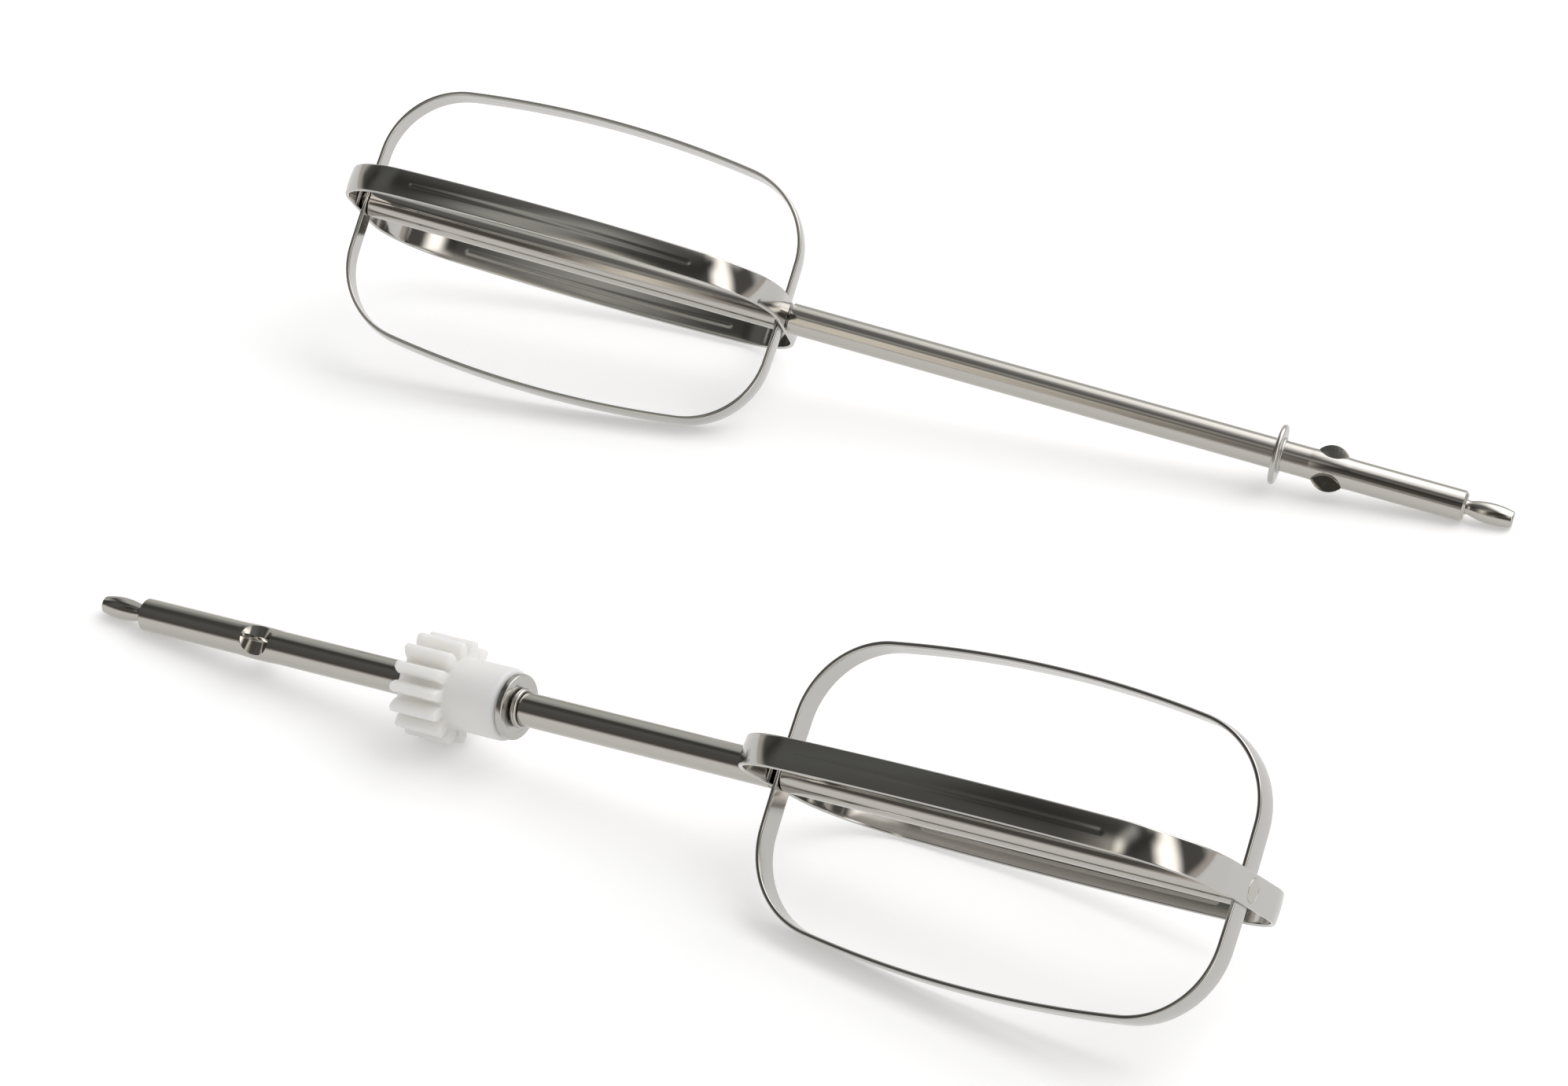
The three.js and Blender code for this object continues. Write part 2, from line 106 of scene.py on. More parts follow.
class BarSizes(bpy.types.PropertyGroup):
    """The drive shaft with its nub, fins, spigot and rivet."""

    beater_length: length("Beater length", "Bottom of the cage to the end of the nub", 193.5)
    radius: length("Shaft radius", "Of the round bar", 2.5)
    shoulder_chamfer: length("Shoulder chamfer", "Where the bar steps down to the nub", 0.45)
    nub_length: length("Nub length", "Shoulder to tip", 7.6)
    neck_radius: length("Neck radius", "Of the nub at the shoulder", 1.15)
    neck_length: length("Neck length", "Straight stretch behind the barrel", 0.6)
    nub_radius: length("Nub radius", "At the middle of the barrel", 1.7)
    nub_end_radius: length("Nub end radius", "Before the rounding at the tip", 1.35)
    nub_rounding: length("Nub rounding", "At the rim of the tip", 0.35)
    fin_distance: length("Fin distance", "Middle of the two fins to the tip", 29.6)
    fin_length: length("Fin length", "Along the bar", 5)
    fin_height: length("Fin height", "Above the bar", 1.3)
    fin_thickness: length("Fin thickness", "Of each blade", 0.4)
    fin_swelling: length("Fin swelling", "How much the bar swells between the fins", 0.1)
    dent_floor: length("Dent floor", "From the axis to the lowest of the dents", 1.3)
    plain_turn: angle("Plain fin turn", "From the outer loop's plane", 90)
    geared_turn: angle("Geared fin turn", "From the outer loop's plane", 3)
    crease: length("Crease", "Rounding of the pressed edges", 0.06)
    spigot_radius: length("Spigot radius", "Of the thin end inside the cage", 1.4)
    rivet_radius: length("Rivet radius", "Of the closed head at the bottom", 1.7)
    rivet_depth: length("Rivet depth", "Of the countersink", 0.5)
    key_length: length("Key length", "Of the ribs inside the pinion", 4)
    key_height: length("Key height", "Of the ribs above the bar", 0.7)
    key_width: length("Key width", "Of the ribs", 1.2)
    key_inset: length("Key inset", "Tip-side face of the pinion to the ribs", 3)


class CageSizes(bpy.types.PropertyGroup):
    """The two strip loops and the spacer tube."""

    length: length("Cage length", "Outside, along the bar", 74.2)
    width: length("Cage width", "Outside, across the bar", 46.4)
    corner_radius: length("Corner radius", "Of the strip's outer face", 13.5)
    side_bow: length("Side bow", "Radius of the long sides", 175)
    end_bow: length("End bow", "Radius of the short ends", 400)
    strip_width: length("Strip width", "Of the rolled strip", 4.6)
    strip_thickness: length("Strip thickness", "Of the rolled strip", 0.8)
    crown: length("Strip crown", "How much thicker the strip is at its middle", 0.12)
    edge_rounding: length("Edge rounding", "Of the strip's edges", 0.27)
    groove_length: length("Groove length", "Of the line pressed into both long sides", 47.6)
    groove_width: length("Groove width", "Of the pressed line", 0.8)
    groove_depth: length("Groove depth", "Of the pressed line", 0.04)
    seat_gap: length("Seat gap", "Between riveted and pressed pieces", 0.15)


class FittingSizes(bpy.types.PropertyGroup):
    """Collar, washer and retaining ring."""

    collar_distance: length("Collar distance", "Its tip-side face to the tip", 37.6)
    collar_radius: length("Collar radius", "Outside", 4.85)
    collar_thickness: length("Collar thickness", "Of the disc", 0.9)
    collar_rounding: length("Collar rounding", "Of its rim", 0.42)
    collar_hub_radius: length("Collar hub radius", "Of the raised ring at the bar", 2.9)
    collar_hub_length: length("Collar hub length", "Of the raised ring", 0.35)
    washer_radius: length("Washer radius", "Outside", 4.85)
    washer_thickness: length("Washer thickness", "At its rim", 1.1)
    washer_dish_radius: length("Washer dish radius", "Of the sunk face", 3.7)
    washer_dish_depth: length("Washer dish depth", "Of the sunk face", 0.05)
    washer_rounding: length("Washer rounding", "Of its rim", 0.2)
    wire_radius: length("Wire radius", "Of the retaining ring", 0.3)
    ring_stand_out: length("Ring stand-out", "Above the bar", 0.45)
    ring_turn: angle("Ring turn", "Of its ends round the bar", 170)
    ring_groove_depth: length("Ring groove depth", "In the bar", 0.3)


class PinionSizes(bpy.types.PropertyGroup):
    """The moulded pinion."""

    distance: length("Pinion distance", "Its tip-side face to the tip", 58)
    teeth: IntProperty(name="Teeth", description="Number of teeth", default=14, min=6)
    radius: length("Pinion radius", "Over the teeth", 7.7)
    face_width: length("Face width", "Of the teeth", 8)
    pressure_angle: angle("Pressure angle", "Of the involute teeth", 20)
    tooth_fullness: number("Tooth fullness", "Thickness of the teeth, in half pitches", 1.15)
    tooth_turn: angle("Tooth turn", "Of the teeth round the bar", -7)
    hub_radius: length("Hub radius", "Outside", 5.35)
    hub_length: length("Hub length", "Beyond the teeth", 8.5)
    rounding: length("Rounding", "Of the moulded edges", 0.42)
    voxel: length("Voxel", "Of the skin that runs the moulded forms together", 0.13)


class Finishes(bpy.types.PropertyGroup):
    """Colours and roughness of the finishes."""

    bar_colour: colour("Bar colour", "Of the plated round bar", (0.55, 0.53, 0.5))
    # Painted shade: the darker colour put on the dents and fin blades, standing in for the shade and
    # dark reflections in them.
    dent_shade_colour: colour("Pressed colour", "Of the dents beside the fins", (0.36, 0.345, 0.31))
    strip_colour: colour("Strip colour", "Of the bright strip", (0.57, 0.56, 0.54))
    fitting_colour: colour("Fitting colour", "Of collar, washer and ring", (0.56, 0.55, 0.53))
    nylon_colour: colour("Nylon colour", "Of the pinion", (0.86, 0.845, 0.82))
    bar_roughness: share("Bar roughness", "Of the round bar", 0.1)
    strip_roughness: share("Strip roughness", "Of the strip", 0.09)
    fitting_roughness: share("Fitting roughness", "Of the fittings", 0.2)
    nylon_roughness: share("Nylon roughness", "Of the pinion", 0.42)


class StudioSettings(bpy.types.PropertyGroup):
    """Floor, light and camera."""

    floor_radius: length("Floor radius", "Of the round floor", 3000)
    azimuth: angle("Camera azimuth", "Round the pair, from looking along +Y", 23.944)
    elevation: angle("Camera elevation", "Above the floor", 33.825)
    distance: length("Camera distance", "To the point that it looks at", 757.4)
    roll: angle("Camera roll", "About its line of sight", 0.488)
    target: vector(
        "Camera target",
        "Point on the floor that the camera looks at",
        (1.026 * MM, 9.654 * MM, 0),
        subtype="TRANSLATION",
        unit="LENGTH",
    )
    lens: number("Lens", "Focal length in millimetres", 114.19)
    shift: vector("Lens shift", "In image widths", (-0.01319, 0.03455), size=2)
    ambient: number("Ambient light", "Even light on matt surfaces", 0.58)
    back_distance: length("Back box distance", "Of the big softbox behind the pair", 1030)
    back_brightness: number("Back box brightness", "Of its face", 1.73)
    front_distance: length("Front box distance", "Of the narrow softbox in front", 720)
    front_brightness: number("Front box brightness", "Of its face", 0.95)


SETTINGS = {
    "beater_bar": BarSizes,
    "beater_cage": CageSizes,
    "beater_fittings": FittingSizes,
    "beater_pinion": PinionSizes,
    "beater_finishes": Finishes,
    "beater_studio": StudioSettings,
}


def settings():
    """The six groups of settings, in the order of SETTINGS."""
    return [getattr(bpy.context.scene, name) for name in SETTINGS]


# ---- Modelling helpers ----


def arc(centre, radius, start, end, steps):
    """Points of an arc between two angles in degrees, both ends included."""
    angles = [math.radians(start + (end - start) * i / steps) for i in range(steps + 1)]
    return [(centre[0] + radius * math.cos(a), centre[1] + radius * math.sin(a)) for a in angles]


def rounded_rim(start, end, radius, rounding, steps):
    """Profile of a rim between two stations on X, rounded at both edges."""
    inside = radius - rounding
    first = arc((start + rounding, inside), rounding, 180, 90, steps)
    return first + arc((end - rounding, inside), rounding, 90, 0, steps)


def outline(bm, points, closed):
    """A chain of edges through points, on a ring where it is closed."""
    verts = [bm.verts.new(point) for point in points]
    pairs = zip(verts, verts[1:] + verts[:1]) if closed else zip(verts, verts[1:])
    return verts + [bm.edges.new(pair) for pair in pairs]


def close_up(bm):
    """Merges what meets and turns every face outwards."""
    bmesh.ops.remove_doubles(bm, verts=bm.verts, dist=0.0005 * MM)
    bmesh.ops.recalc_face_normals(bm, faces=bm.faces)
    return bm


def spin_about_bar(bm, geometry, angle, steps, **options):
    """Spins geometry about X, as bmesh.ops.spin does."""
    return bmesh.ops.spin(
        bm, geom=geometry, cent=(0, 0, 0), axis=ALONG, angle=angle, steps=steps, **options
    )


def turn_about_bar(bm, angle):
    """Turns a whole solid about X."""
    turn = Matrix.Rotation(angle, 3, "X")
    bmesh.ops.rotate(bm, cent=(0, 0, 0), matrix=turn, verts=bm.verts)


def lathe(profile, closed=False, segments=96):
    """Turns a profile of (x, radius) points about X. An open one starts and ends on the axis."""
    bm = bmesh.new()
    geometry = outline(bm, [(x, r, 0) for x, r in profile], closed)
    spin_about_bar(bm, geometry, math.tau, segments, use_merge=True)
    return close_up(bm)


def rod(radius, start, end):
    """A plain round bar on X, for holes."""
    return lathe([(start, 0), (start, radius), (end, radius), (end, 0)])


def block(low, high):
    """A box between two corners."""
    bm = bmesh.new()
    bmesh.ops.create_cube(bm, size=1)
    size = Vector(high) - Vector(low)
    bmesh.ops.scale(bm, vec=size, verts=bm.verts)
    bmesh.ops.translate(bm, vec=(Vector(high) + Vector(low)) / 2, verts=bm.verts)
    return bm


def add_object(name, data):
    """An object of the scene, for a mesh, a lamp or a camera."""
    made = bpy.data.objects.new(name, data)
    bpy.context.scene.collection.objects.link(made)
    return made


def mesh_object(name, bm, material=None):
    """An object that takes over a bmesh."""
    mesh = bpy.data.meshes.new(name)
    bm.to_mesh(mesh)
    bm.free()
    if material:
        mesh.materials.append(material)
    return add_object(name, mesh)


def evaluated(made, *helpers):
    """The bmesh that an object's modifiers give. The object and its helpers are thrown away."""
    bpy.context.view_layer.update()
    bm = bmesh.new()
    bm.from_object(made, bpy.context.evaluated_depsgraph_get())
    for item in (made, *helpers):
        mesh = item.data
        bpy.data.objects.remove(item)
        bpy.data.meshes.remove(mesh)
    return bm


def combine(bm, tool, operation):
    """Joins two solids, or cuts one with the other."""
    made, helper = mesh_object("scratch", bm), mesh_object("scratch", tool)
    modifier = made.modifiers.new("Combine", "BOOLEAN")
    modifier.operation = operation
    modifier.solver = "EXACT"
    modifier.object = helper
    return evaluated(made, helper)


def cut(bm, tool):
    """One solid with another taken out of it."""
    return combine(bm, tool, "DIFFERENCE")


def join(bm, other):
    """Two solids as one."""
    return combine(bm, other, "UNION")


def sharp_edges(bm, degrees, where=None):
    """Edges whose faces turn by more than an angle, within an optional test of a vertex."""
    limit = math.radians(degrees)
    return [
        edge
        for edge in bm.edges
        if len(edge.link_faces) == 2
        and edge.calc_face_angle(0) > limit
        and (where is None or all(where(v.co) for v in edge.verts))
    ]


def round_off(bm, edges, width, segments=3):
    """Rounds edges to an even width."""
    bmesh.ops.bevel(
        bm,
        geom=edges,
        offset=width,
        affect="EDGES",
        segments=segments,
        profile=0.5,
        material=-1,
        clamp_overlap=True,
    )
    return bm


def beater_matrix(which):
    """Where a beater lies, from its mounts on the tip and on the collar or the pinion."""
    end = MOUNTS[which + "_nub_end"]
    tip, along = Vector(end["pos_m"]), Vector(end["axis"]).normalized()
    beside = MOUNTS["plain_collar_face" if which == "plain" else "pinion_tip_face"]
    to_beside = Vector(beside["pos_m"]) - tip
    in_plane = (to_beside - to_beside.dot(along) * along).normalized()
    turn = Matrix((along, in_plane, along.cross(in_plane))).transposed().to_4x4()
    bottom = tip - bpy.context.scene.beater_bar.beater_length * along
    return Matrix.Translation(bottom) @ turn


def piece(bm, name, which, material, smooth_angle=30):
    """Makes a finished piece that stands for the CAD node of the same name."""
    place = bm.verts.layers.float_vector.new("place")
    for vert in bm.verts:
        vert[place] = vert.co
    bmesh.ops.transform(bm, matrix=beater_matrix(which), verts=bm.verts)
    for face in bm.faces:
        face.smooth = True
    sharp = set(sharp_edges(bm, smooth_angle))
    for edge in bm.edges:
        edge.smooth = edge not in sharp
    made = mesh_object(name + "_finished", bm, material)
    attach(made, which + "_beater")
    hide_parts(name)
    return made


# ---- Drive shaft ----


def nub_profile(bar):
    """The barrel-shaped nub, from its neck to the axis at the tip."""
    shoulder = bar.beater_length - bar.nub_length
    start, end = shoulder + bar.neck_length, bar.beater_length - bar.nub_rounding
    middle = (start + end) / 2
    # A parabola that passes through the full radius at its middle.
    bulge = 2 * bar.nub_radius - (bar.neck_radius + bar.nub_end_radius) / 2
    points = [(shoulder, bar.neck_radius)]
    steps = 20
    for i in range(steps + 1):
        t = i / steps
        a, b, c = (1 - t) ** 2, 2 * t * (1 - t), t * t
        radius = a * bar.neck_radius + b * bulge + c * bar.nub_end_radius
        points.append((a * start + b * middle + c * end, radius))
    corner = (end, bar.nub_end_radius - bar.nub_rounding)
    points += arc(corner, bar.nub_rounding, 75, 0, 5)
    return points + [(bar.beater_length, 0)]


def arc_radius(chord, height):
    """Radius of the arc that rises by a height over a chord."""
    return ((chord / 2) ** 2 + height**2) / (2 * height)


def fin_station(bar):
    """Middle of the fins on X, and half the stretch of bar that pressing them disturbs."""
    return bar.beater_length - bar.fin_distance, 0.7 * bar.fin_length


def fin_swelling(bar):
    """The slight swelling of the bar where the fins are pressed out."""
    middle, half = fin_station(bar)
    radius = arc_radius(2 * half, bar.fin_swelling)
    spread = math.degrees(math.asin(half / radius))
    centre = (middle, bar.radius + bar.fin_swelling - radius)
    return arc(centre, radius, 90 + spread, 90 - spread, 16)


def pressed_disc(bar, turn, radius, height, side_from, side_to):
    """A round slice in a fin's plane: its centre's height above the axis, then both its sides."""
    bm = bmesh.new()
    bmesh.ops.create_cone(
        bm, cap_ends=True, segments=128, radius1=radius, radius2=radius, depth=side_to - side_from
    )
    place = Vector((fin_station(bar)[0], height, (side_from + side_to) / 2))
    bmesh.ops.translate(bm, vec=place, verts=bm.verts)
    turn_about_bar(bm, turn)
    return bm


def bar_profile(bar, cage):
    """The whole shaft before its fins are pressed."""
    top = cage.length + cage.seat_gap
    shoulder = bar.beater_length - bar.nub_length
    rim = 0.06 * MM
    bevel = bar.shoulder_chamfer
    return [
        (0, 0),
        (0, bar.rivet_radius - rim),
        (rim, bar.rivet_radius - rim / 2),
        (bar.rivet_depth, bar.spigot_radius),
        (top, bar.spigot_radius),
        (top, bar.radius - rim),
        (top + rim, bar.radius),
        *fin_swelling(bar),
        (shoulder - bevel, bar.radius),
        (shoulder, bar.radius - bevel),
        *nub_profile(bar),
    ]


def drive_shaft(which, bar, cage):
    """The shaft with its two fins, each left standing between two pressed dents."""
    bm = lathe(bar_profile(bar, cage))
    first = bar.plain_turn if which == "plain" else bar.geared_turn
    blade = arc_radius(bar.fin_length, bar.fin_height)
    dent = arc_radius(bar.fin_length, bar.radius - bar.dent_floor)
    half, reach = bar.fin_thickness / 2, bar.radius + MM
    crest = bar.radius + bar.fin_height
    for turn in (first, first + math.pi):
        bm = join(bm, pressed_disc(bar, turn, blade, crest - blade, -2 * half, 2 * half))
    for turn in (first, first + math.pi):
        for low, high in ((-reach, -half), (half, reach)):
            bm = cut(bm, pressed_disc(bar, turn, dent, bar.dent_floor + dent, low, high))
    middle, near = fin_station(bar)
    close_up(bm)
    edges = sharp_edges(bm, degrees=25, where=lambda co: abs(co.x - middle) < near)
    round_off(bm, edges, bar.crease, segments=2)
    # The plain beater's dents and blades are marked for painted shade.
    if which == "plain":
        mark_dent_shade(bm, bar, first, dent)
    return bm


def mark_dent_shade(bm, bar, turn, dent):
    """Marks the faces of the dents and of the blades, where the finish paints shade."""
    mark = bm.loops.layers.float.new("pressed")
    middle, slack = fin_station(bar)[0], 0.03 * MM
    upright = Matrix.Rotation(-turn, 3, "X")
    for face in bm.faces:
        place = upright @ face.calc_center_median()
        off, height = abs(place.x - middle), abs(place.y)
        on_dent = abs(math.hypot(off, height - bar.dent_floor - dent) - dent) < slack
        on_side = abs(abs(place.z) - bar.fin_thickness / 2) < slack
        on_blade = on_side and height > bar.dent_floor
        if off < bar.fin_length / 2 and (on_dent or on_blade):
            for loop in face.loops:
                loop[mark] = 1


def keyed(bm, bar, pinion):
    """Adds the two ribs that drive the pinion."""
    end = bar.beater_length - pinion.distance - bar.key_inset
    tall, wide = bar.radius + bar.key_height, bar.key_width / 2
    return join(bm, block((end - bar.key_length, -tall, -wide), (end, tall, wide)))


class BEATERS_OT_drive_shaft(bpy.types.Operator):
    """Turn one beater's bar, press its fins and plate it"""

    bl_idname = "beaters.drive_shaft"
    bl_label = "Drive Shaft"
    which: EnumProperty(name="Beater", description="Which of the two", items=BEATERS)

    def execute(self, context):
        bar, cage, fittings, pinion, finishes, _ = settings()
        bm = drive_shaft(self.which, bar, cage)
        if self.which == "geared":
            bm = keyed(bm, bar, pinion)
            bm = cut(bm, ring_groove(bar, cage, fittings, pinion))
        piece(bm, self.which + "_drive_shaft", self.which, plated_bar(finishes))
        return {"FINISHED"}


# ---- Cage ----


def corner_of(cage, half_length):
    """Centre of a loop's corner arc, and the angles where it meets the end and the side."""
    end_centre = half_length - cage.end_bow
    side_centre = cage.width / 2 - cage.side_bow
    to_end, to_side = cage.end_bow - cage.corner_radius, cage.side_bow - cage.corner_radius
    apart = math.hypot(end_centre, side_centre)
    along = (to_end**2 - to_side**2 + apart**2) / (2 * apart)
    off = math.sqrt(to_end**2 - along**2)
    ux, uy = -end_centre / apart, side_centre / apart
    centre = Vector((end_centre + along * ux - off * uy, along * uy + off * ux, 0))
    end_angle = math.atan2(centre.y, centre.x - end_centre)
    side_angle = math.atan2(centre.y - side_centre, centre.x)
    return centre, end_angle, side_angle


def strip_section(cage, half_length):
    """The strip's rounded section at the middle of the loop's end, in X and Z."""
    wide, thick, rounding = cage.strip_width / 2, cage.strip_thickness, cage.edge_rounding
    edge = thick - cage.crown
    centres = [(edge - rounding, wide - rounding), (rounding, wide - rounding)]
    centres += [(t, -w) for t, w in reversed(centres)]
    corner_steps, face_steps, crowding = 6, 16, 1.6
    points = []
    for k, centre in enumerate(centres):
        points += arc(centre, rounding, 90 * k, 90 * k + 90, corner_steps)
        if k % 2 == 1:
            # Points across the face, close together round the pressed line.
            sign = 1 if k == 1 else -1
            for i in range(1, face_steps):
                u = 1 - 2 * i / face_steps
                u = math.copysign(abs(u) ** crowding, u)
                t = 0 if k == 1 else edge + cage.crown * (1 - u * u)
                points.append((t, sign * (wide - rounding) * u))
    return [(half_length - thick + t, 0, w) for t, w in points]


def strip_loop(cage, half_length):
    """A closed loop of strip about the cage's middle: a quarter spun on its arcs, then mirrored."""
    bm = bmesh.new()
    centre, end_angle, side_angle = corner_of(cage, half_length)
    side_centre = Vector((0, cage.width / 2 - cage.side_bow, 0))
    run = outline(bm, strip_section(cage, half_length), closed=True)
    arcs = [
        (Vector((half_length - cage.end_bow, 0, 0)), end_angle, 6),
        (centre, side_angle - end_angle, 40),
        (side_centre, math.pi / 2 - side_angle, 110),
    ]
    for middle, turn, steps in arcs:
        spun = bmesh.ops.spin(bm, geom=run, cent=middle, axis=(0, 0, 1), angle=turn, steps=steps)
        run = spun["geom_last"]
    press_line(bm, cage, side_centre)
    for axis in "XY":
        whole = bm.verts[:] + bm.edges[:] + bm.faces[:]
        bmesh.ops.mirror(bm, geom=whole, merge_dist=MM * 0.001, axis=axis)
    return close_up(bm)


def press_line(bm, cage, side_centre):
    """Presses the narrow line into a long side, through both faces of the strip."""
    radius = cage.groove_width / 2
    slope = 0.6 * radius
    straight = cage.groove_length / 2 - radius
    for vert in bm.verts:
        out = vert.co - side_centre
        out.z = 0
        along = math.atan2(out.x, out.y) * cage.side_bow
        if along > cage.groove_length / 2:
            continue
        inside = radius - math.hypot(max(along - straight, 0), vert.co.z)
        t = min(max(inside / slope, 0), 1)
        vert.co -= out.normalized() * cage.groove_depth * t * t * (3 - 2 * t)


def outer_loop(bar, cage):
    """The loop that lies outside at both crossings, with the rivet's countersink."""
    half = cage.length / 2
    bm = strip_loop(cage, half)
    bmesh.ops.translate(bm, vec=(half, 0, 0), verts=bm.verts)
    past, hole = MM, bar.spigot_radius + BORE_GAP
    slope = (bar.rivet_radius - bar.spigot_radius) / bar.rivet_depth
    sink = [
        (-past, 0),
        (-past, bar.rivet_radius + BORE_GAP + slope * past),
        (bar.rivet_depth, hole),
        (cage.length + past, hole),
        (cage.length + past, 0),
    ]
    return cut(bm, lathe(sink))


def inner_loop(bar, cage):
    """The loop that fits inside the other, a quarter turn round the bar."""
    bm = strip_loop(cage, cage.length / 2 - cage.strip_thickness - cage.seat_gap)
    turn_about_bar(bm, math.pi / 2)
    bmesh.ops.translate(bm, vec=(cage.length / 2, 0, 0), verts=bm.verts)
    return cut(bm, rod(bar.spigot_radius + BORE_GAP, 0, cage.length))


def spacer_tube(bar, cage):
    """The tube on the spigot, between the two crossings."""
    start = 2 * (cage.strip_thickness + cage.seat_gap)
    end = cage.length - start
    bore, rounding = bar.spigot_radius + BORE_GAP, 0.2 * MM
    rim = rounded_rim(start, end, bar.radius, rounding, 3)
    return lathe([(start, bore), *rim, (end, bore)], closed=True)


class BEATERS_OT_cage(bpy.types.Operator):
    """Bend and rivet the two strip loops over the spacer tube of one beater"""

    bl_idname = "beaters.cage"
    bl_label = "Cage"
    which: EnumProperty(name="Beater", description="Which of the two", items=BEATERS)

    def execute(self, context):
        bar, cage, _, _, finishes, _ = settings()
        strip = bright_strip(finishes)
        tube = spacer_tube(bar, cage)
        piece(tube, self.which + "_spacer_tube", self.which, plated_bar(finishes))
        for name, make in (("_outer_loop", outer_loop), ("_inner_loop", inner_loop)):
            piece(make(bar, cage), self.which + name, self.which, strip, 50)
        return {"FINISHED"}


# ---- Collar, washer and ring ----


def stop_collar(bar, fittings):
    """The pressed-on disc with a raised ring at the bar."""
    bore = bar.radius + PRESS_GAP
    face = bar.beater_length - fittings.collar_distance
    back = face - fittings.collar_thickness
    front, hub = face + fittings.collar_hub_length, fittings.collar_hub_radius
    small = 0.12 * MM
    profile = [
        (back, bore),
        *rounded_rim(back, face, fittings.collar_radius, fittings.collar_rounding, 8),
        (face, hub + small),
        (face + small, hub),
        *arc((front - small, hub - small), small, 90, 0, 3),
        (front, bore),
    ]
    return lathe(profile, closed=True)


def washer_station(bar, cage, fittings, pinion):
    """Cage-side face of the washer, on X."""
    hub_end = bar.beater_length - pinion.distance - pinion.face_width - pinion.hub_length
    return hub_end - cage.seat_gap - fittings.washer_thickness


def pinion_washer(bar, cage, fittings, pinion):
    """The washer whose cage-side face is dished round the bar."""
    start = washer_station(bar, cage, fittings, pinion)
    end = start + fittings.washer_thickness
    dish, depth = fittings.washer_dish_radius, fittings.washer_dish_depth
    bore = bar.radius + BORE_GAP
    profile = [
        (start + depth, bore),
        (start + depth, dish - 2 * depth),
        (start + 0.85 * depth, dish - depth),
        (start + 0.15 * depth, dish),
        (start, dish + depth),
        *rounded_rim(start, end, fittings.washer_radius, fittings.washer_rounding, 4),
        (end, bore),
    ]
    return lathe(profile, closed=True)


def ring_span(bar, cage, fittings, pinion):
    """Both ends of the retaining ring, on X."""
    end = washer_station(bar, cage, fittings, pinion) - PRESS_GAP
    return end - 4 * fittings.wire_radius, end


def ring_groove(bar, cage, fittings, pinion):
    """What is turned out of the bar for the retaining ring."""
    start, end = ring_span(bar, cage, fittings, pinion)
    start, end = start - PRESS_GAP, end + PRESS_GAP
    bottom, outside = bar.radius - fittings.ring_groove_depth, bar.radius + MM
    return lathe([(start, bottom), (start, outside), (end, outside), (end, bottom)], closed=True)


def retaining_ring(bar, cage, fittings, pinion):
    """A wire wound twice round the bar, its turns side by side."""
    start, end = ring_span(bar, cage, fittings, pinion)
    wire = fittings.wire_radius
    centre = (start + wire, bar.radius + fittings.ring_stand_out - wire)
    turns, steps = 1.93, 150
    # Slightly thin, so that the two turns don't touch.
    round_wire = arc(centre, 0.97 * wire, 0, 345, 23)
    bm = bmesh.new()
    section = outline(bm, [(x, r, 0) for x, r in round_wire], closed=True)
    pitch = (end - start - 2 * wire) / turns
    drift = Vector((pitch * turns / steps, 0, 0))
    spun = spin_about_bar(bm, section, turns * math.tau, steps, dvec=drift)
    for ends in (section, spun["geom_last"]):
        rim = [e for e in ends if isinstance(e, bmesh.types.BMEdge)]
        bmesh.ops.contextual_create(bm, geom=rim)
    turn_about_bar(bm, fittings.ring_turn)
    return close_up(bm)


class BEATERS_OT_stop_collar(bpy.types.Operator):
    """Press the stop collar on the plain beater's bar"""

    bl_idname = "beaters.stop_collar"
    bl_label = "Stop Collar"

    def execute(self, context):
        bar, _, fittings, _, finishes, _ = settings()
        bm = stop_collar(bar, fittings)
        piece(bm, "plain_stop_collar", "plain", plated_fitting(finishes))
        return {"FINISHED"}


class BEATERS_OT_washer_and_ring(bpy.types.Operator):
    """Close the pinion with its washer and retaining ring"""

    bl_idname = "beaters.washer_and_ring"
    bl_label = "Washer and Ring"

    def execute(self, context):
        bar, cage, fittings, pinion, finishes, _ = settings()
        for name, make in (("pinion_washer", pinion_washer), ("retaining_ring", retaining_ring)):
            bm = make(bar, cage, fittings, pinion)
            piece(bm, name, "geared", plated_fitting(finishes))
        return {"FINISHED"}


# ---- Pinion ----


def tooth_flank(pinion):
    """(radius, half angle) points up one flank of an involute tooth, root to tip."""
    module = 2 * pinion.radius / (pinion.teeth + 2)
    pitch = module * pinion.teeth / 2
    dedendum = 1.25 * module
    base, root = pitch * math.cos(pinion.pressure_angle), pitch - dedendum
    roll = math.tan(pinion.pressure_angle) - pinion.pressure_angle
    at_pitch = pinion.tooth_fullness * math.pi / (2 * pinion.teeth) + roll

    def half(radius):
        swing = math.acos(min(1, base / radius))
        return at_pitch - (math.tan(swing) - swing)

    steps = 8
    radii = [base + (pinion.radius - base) * i / steps for i in range(steps + 1)]
    return [(root, half(base))] + [(radius, half(radius)) for radius in radii]


